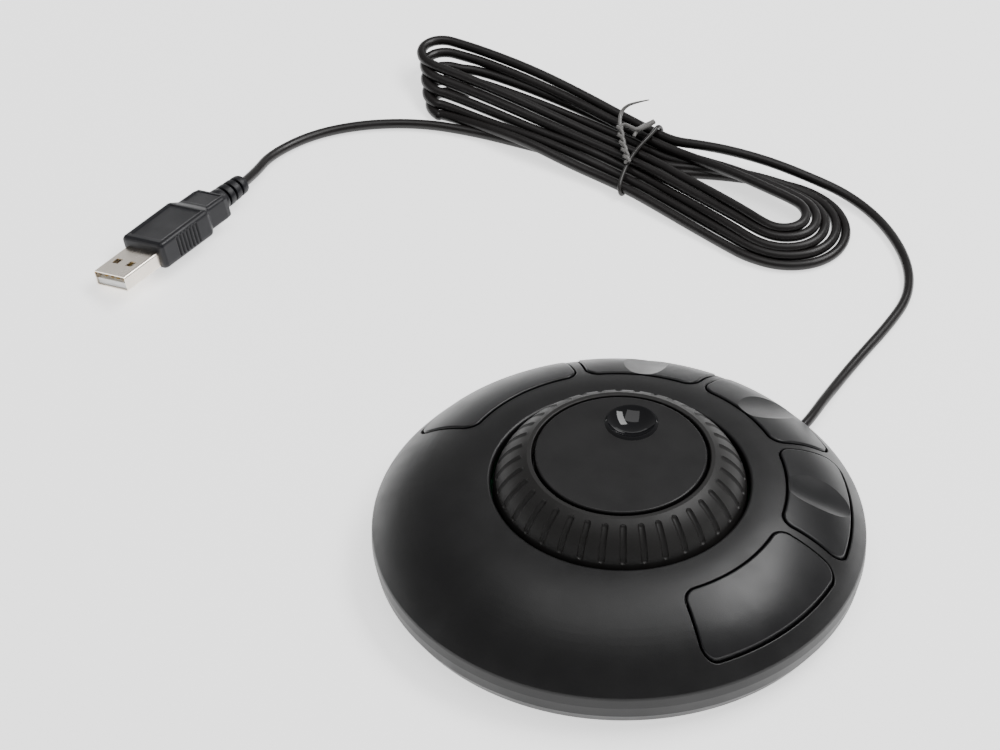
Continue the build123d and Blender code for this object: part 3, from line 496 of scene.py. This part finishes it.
def add_overmould():
    """Neck and body of the plug's moulding."""
    # place, half width, half height, corner radius, rise
    stations = (
        (11.0, 4.2, 2.7, 1.2, 0.3), (11.25, 5.0, 3.1, 1.2, 0.4), (11.7, 5.7, 3.35, 1.1, 0.5),
        (13.2, 6.0, 3.4, 1.0, 0.6), (19.3, 6.0, 3.45, 1.0, 0.7), (19.6, 6.2, 3.5, 1.0, 0.75),
        (21.2, 7.6, 3.9, 1.2, MOULD_RISE), (21.7, 7.75, 3.95, 1.2, MOULD_RISE),
        (39.3, 7.75, 3.95, 1.2, MOULD_RISE), (40.0, 7.5, 3.7, 1.1, 0.85), (40.4, 6.9, 3.2, 0.9, 0.7),
    )
    start, end = RELIEF_LENGTH, RELIEF_LENGTH + NECK_LENGTH + MOULD_LENGTH
    rings = []
    for row in range(MOULD_ROWS + 1):
        x = start + (end - start) * row / MOULD_ROWS
        ring = []
        for (px, y, z), (out_y, out_z) in rounded_ring(x, *at_stations(stations, x)):
            dent = mould_dent(px, y, z, out_y, out_z)
            ring.append((px, y - dent * out_y, z - dent * out_z))
        rings.append(ring)
    return mesh_piece("plug_overmould", rings, plug_place())


def add_strain_relief():
    """Flexible sleeve: collars parted by slots, rounded where the lead comes out."""
    profile = [
        (0.0, 1.55), (0.02, 2.0), (0.35, 2.5), (0.9, 2.75), (2.3, 2.85), (2.55, 2.75),
        (2.6, 2.05), (3.3, 2.05), (3.35, 2.8), (3.55, 2.95), (5.0, 3.0), (5.25, 2.9),
        (5.3, 2.1), (6.0, 2.1), (6.05, 2.95), (6.25, 3.1), (7.7, 3.15), (7.95, 3.05),
        (8.0, 2.2), (8.7, 2.2), (8.75, 3.1), (8.95, 3.2), (10.3, 3.3), (11.02, 3.1),
    ]
    rings = []
    for x, radius in profile:
        ring = []
        for step in range(RELIEF_SIDES):
            angle = 2 * math.pi * step / RELIEF_SIDES
            y = RELIEF_FLATNESS * radius * math.cos(angle)
            ring.append((x, y, radius * math.sin(angle) + RELIEF_RISE))
        rings.append(ring)
    return mesh_piece("plug_strain_relief", rings, plug_place(), 32)


# ---------------------------------------------------------------- surroundings
def area_light(name, place, width, height, power):
    """Rectangular soft lamp that faces the object."""
    light = bpy.data.lights.new(name, "AREA")
    light.shape = "RECTANGLE"
    light.size = width
    light.size_y = height
    light.energy = power
    lamp = bpy.data.objects.new(name, light)
    lamp.location = place
    lamp.rotation_euler = (Vector(place) - Vector(LIGHT_TARGET)).to_track_quat("Z", "Y").to_euler()
    bpy.context.scene.collection.objects.link(lamp)


def add_camera():
    """Camera at the viewing angle given at the top."""
    azimuth = math.radians(CAMERA_AZIMUTH)
    elevation = math.radians(CAMERA_ELEVATION)
    away = Vector((math.sin(azimuth) * math.cos(elevation), -math.cos(azimuth) * math.cos(elevation),
                   math.sin(elevation)))
    camera = bpy.data.objects.new("camera", bpy.data.cameras.new("camera"))
    bpy.context.scene.collection.objects.link(camera)
    place = Vector(CAMERA_TARGET) + away * CAMERA_DISTANCE
    facing = away.to_track_quat("Z", "Y").to_matrix().to_4x4()
    roll = Matrix.Rotation(math.radians(CAMERA_ROLL), 4, "Z")
    camera.matrix_world = Matrix.Translation(place) @ facing @ roll
    camera.data.sensor_width = CAMERA_SENSOR
    camera.data.lens = CAMERA_LENS
    camera.data.clip_end = CAMERA_SIGHT
    bpy.context.scene.camera = camera


def add_studio():
    """Pale floor under white sky light and three soft lamps."""
    world = bpy.data.worlds.new("world")
    bpy.context.scene.world = world
    world.use_nodes = True
    sky = world.node_tree.nodes["Background"]
    sky.inputs["Color"].default_value = (1.0, 1.0, 1.0, 1)
    sky.inputs["Strength"].default_value = SKY_STRENGTH
    for lamp in LAMPS:
        area_light(*lamp)
    bpy.ops.mesh.primitive_plane_add(size=FLOOR_SIZE)
    floor = bpy.context.object
    floor.name = "studio_floor"
    white = bpy.data.materials.new("floor_white")
    white.use_nodes = True
    shader = white.node_tree.nodes["Principled BSDF"]
    shader.inputs["Base Color"].default_value = (FLOOR_GREY, FLOOR_GREY, FLOOR_GREY, 1)
    shader.inputs["Roughness"].default_value = FLOOR_ROUGHNESS
    shader.inputs["Emission Color"].default_value = (1.0, 1.0, 1.0, 1)
    shader.inputs["Emission Strength"].default_value = FLOOR_GLOW
    floor.data.materials.append(white)


# ---------------------------------------------------------------- build
for subpart in frame["record"]["subparts"]:
    paint(frame["nodes"][subpart["node"]], subpart["material_slot"])

overmould = add_overmould()
relief = add_strain_relief()
tie = add_tie_band()
tie_ends = add_tie_ends()
lead = add_lead()
for piece, style, slot, nodes in (
    (overmould, "plug_plastic", "plug_plastic", ["usb_overmould"]),
    (relief, "plug_plastic", "plug_plastic", ["usb_strain_relief"]),
    (tie, "tie_wire", "tie_wire", ["twist_tie"]),
    (tie_ends, "tie_clear", "tie_wire", ["twist_tie"]),
    (lead, "cable_jacket", "cable_jacket", ["cable_lead", "cable_hank", "cable_tail"]),
):
    paint(piece, style)
    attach(piece, "root")
    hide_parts(*nodes)

add_camera()
add_studio()
